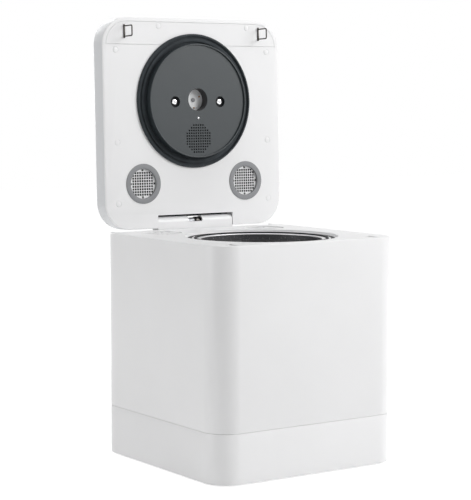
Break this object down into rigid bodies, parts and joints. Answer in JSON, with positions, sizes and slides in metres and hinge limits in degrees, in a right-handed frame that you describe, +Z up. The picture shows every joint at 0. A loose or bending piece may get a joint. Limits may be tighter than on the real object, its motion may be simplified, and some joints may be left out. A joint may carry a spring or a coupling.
{
  "type": "electric food waste composter",
  "caption": "Square white countertop food waste composter with a flip-up lid, round sealing disc, heated bucket with stirrer, and filters under the deck.",
  "frame": {"origin": "on the surface that the feet stand on, under the centre of the square body; the base tray's flat underside is 3 mm above it", "axes": "+Z up, +Y towards the rear where the hinge is, +X to the right seen from the front"},
  "size_m": [0.29, 0.3088, 0.5958],
  "materials": {
    "body_white": "smooth moulded ABS, satin gloss",
    "lid_white": "smooth moulded ABS, satin gloss",
    "panel_white": "fine matte moulded ABS",
    "port_grey": "matte grey moulded ring",
    "disc_graphite": "dark slate heat-resistant moulding, satin",
    "touch_black": "gloss black window",
    "black_rubber": "moulded silicone",
    "bright_steel": "bright plated steel",
    "zinc_steel": "zinc plated steel",
    "bronze_wire": "dark passivated spring wire",
    "pot_aluminium": "plain drawn aluminium",
    "nonstick_coat": "die-cast aluminium with dark non-stick coat",
    "cast_stirrer": "die-cast aluminium with dark non-stick coat",
    "bail_black": "heat-resistant black moulding",
    "heater_foil": "stainless heater band",
    "felt_grey": "glass fibre felt",
    "gearbox_black": "glass-filled black moulding",
    "sintered_gear": "sintered steel",
    "acetal_gear": "natural acetal",
    "bush_bronze": "sintered bronze",
    "motor_can": "zinc plated can",
    "duct_grey": "grey polypropylene",
    "fan_black": "black moulding",
    "circuit_green": "green circuit board",
    "component_black": "board components",
    "lamp_board_grey": "light grey circuit board",
    "standoff_nylon": "natural nylon",
    "solenoid_can": "plated frame with a wound coil",
    "lock_acetal": "black acetal",
    "filter_white": "white cup filled with carbon"
  },
  "bodies": {
    "housing": {"base_tray": "body_white", "rubber_feet": "black_rubber", "base_screws": "zinc_steel", "housing_shell": "body_white", "deck_ring": "body_white", "chamber_gasket": "black_rubber", "heating_chamber": "pot_aluminium", "chamber_posts": "pot_aluminium", "heater_band": "heater_foil", "insulation_sleeve": "felt_grey", "chassis_plate": "zinc_steel", "chassis_screws": "zinc_steel", "gearbox_case": "gearbox_black", "gearbox_cover": "gearbox_black", "shaft_bush": "bush_bronze", "shaft_seal": "black_rubber", "drive_motor": "motor_can", "filter_wells": "duct_grey", "air_duct": "duct_grey", "fan_frame": "fan_black", "rear_grille": "fan_black", "main_board": "circuit_green", "board_components": "component_black", "board_standoffs": "standoff_nylon", "power_inlet": "fan_black", "hinge_cover": "lid_white", "hinge_screws": "zinc_steel", "hinge_spring": "zinc_steel", "lock_solenoid": "solenoid_can", "lock_guides": "standoff_nylon", "lock_spring": "zinc_steel"},
    "lid": {"lid_outer_shell": "lid_white", "lid_inner_panel": "panel_white", "lid_cover_strip": "lid_white", "lid_screw_caps": "lid_white", "lid_hinge_blocks": "lid_white", "hinge_pin": "bright_steel", "latch_loops": "bronze_wire", "lid_disc": "disc_graphite", "disc_seal": "black_rubber", "disc_screws": "bright_steel", "lamp_board": "lamp_board_grey", "steam_sensor": "component_black", "port_rings": "port_grey", "port_meshes": "panel_white", "lid_duct": "duct_grey", "touch_window": "touch_black", "control_board": "circuit_green"},
    "bucket": {"waste_bucket": "nonstick_coat"},
    "bail": {"bucket_bail": "bail_black"},
    "stirrer": {"stirrer": "cast_stirrer"},
    "drive": {"drive_shaft": "bright_steel", "output_gear": "sintered_gear"},
    "idler": {"idler_gear": "acetal_gear"},
    "pinion": {"motor_pinion": "sintered_gear"},
    "fan": {"fan_rotor": "fan_black"},
    "lock": {"lock_bar": "lock_acetal"},
    "filter_left": {"filter_left": "filter_white"},
    "filter_right": {"filter_right": "filter_white"}
  },
  "joints": [
    {"name": "lid_hinge", "type": "hinge", "parent": "housing", "child": "lid", "pos_m": [0, 0.1371, 0.3136], "axis": [-1, 0, 0], "range_deg": [-91.72, 0]},
    {"name": "bucket_lift", "type": "slide", "parent": "housing", "child": "bucket", "axis": [0, 0, 1], "range_m": [0, 0.2]},
    {"name": "bail_swing", "type": "hinge", "parent": "bucket", "child": "bail", "pos_m": [0, -0.031, 0.2891], "axis": [1, 0, 0], "range_deg": [0, 180]},
    {"name": "stirrer_spin", "type": "hinge", "parent": "bucket", "child": "stirrer", "pos_m": [0, -0.031, 0.12], "axis": [0, 0, 1], "continuous": true},
    {"name": "drive_spin", "type": "hinge", "parent": "housing", "child": "drive", "pos_m": [0, -0.031, 0.07], "axis": [0, 0, 1], "continuous": true},
    {"name": "idler_spin", "type": "hinge", "parent": "housing", "child": "idler", "pos_m": [0, 0.021, 0.07], "axis": [0, 0, 1], "continuous": true},
    {"name": "pinion_spin", "type": "hinge", "parent": "housing", "child": "pinion", "pos_m": [0, 0.063, 0.08], "axis": [0, 0, 1], "continuous": true},
    {"name": "fan_spin", "type": "hinge", "parent": "housing", "child": "fan", "pos_m": [0, 0.13, 0.1651], "axis": [0, 1, 0], "continuous": true},
    {"name": "filter_left_lift", "type": "slide", "parent": "housing", "child": "filter_left", "axis": [0, 0, 1], "range_m": [0, 0.12]},
    {"name": "filter_right_lift", "type": "slide", "parent": "housing", "child": "filter_right", "axis": [0, 0, 1], "range_m": [0, 0.12]},
    {"name": "lock_slide", "type": "slide", "parent": "housing", "child": "lock", "axis": [1, 0, 0], "range_m": [0, 0.006], "stiffness_N_per_m": 300, "deforming": ["lock_spring"]}
  ],
  "couplings": [
    {"joint": "drive_spin", "follows": "stirrer_spin", "ratio": 1},
    {"joint": "idler_spin", "follows": "stirrer_spin", "ratio": -3.3333},
    {"joint": "pinion_spin", "follows": "stirrer_spin", "ratio": 8.3333}
  ]
}
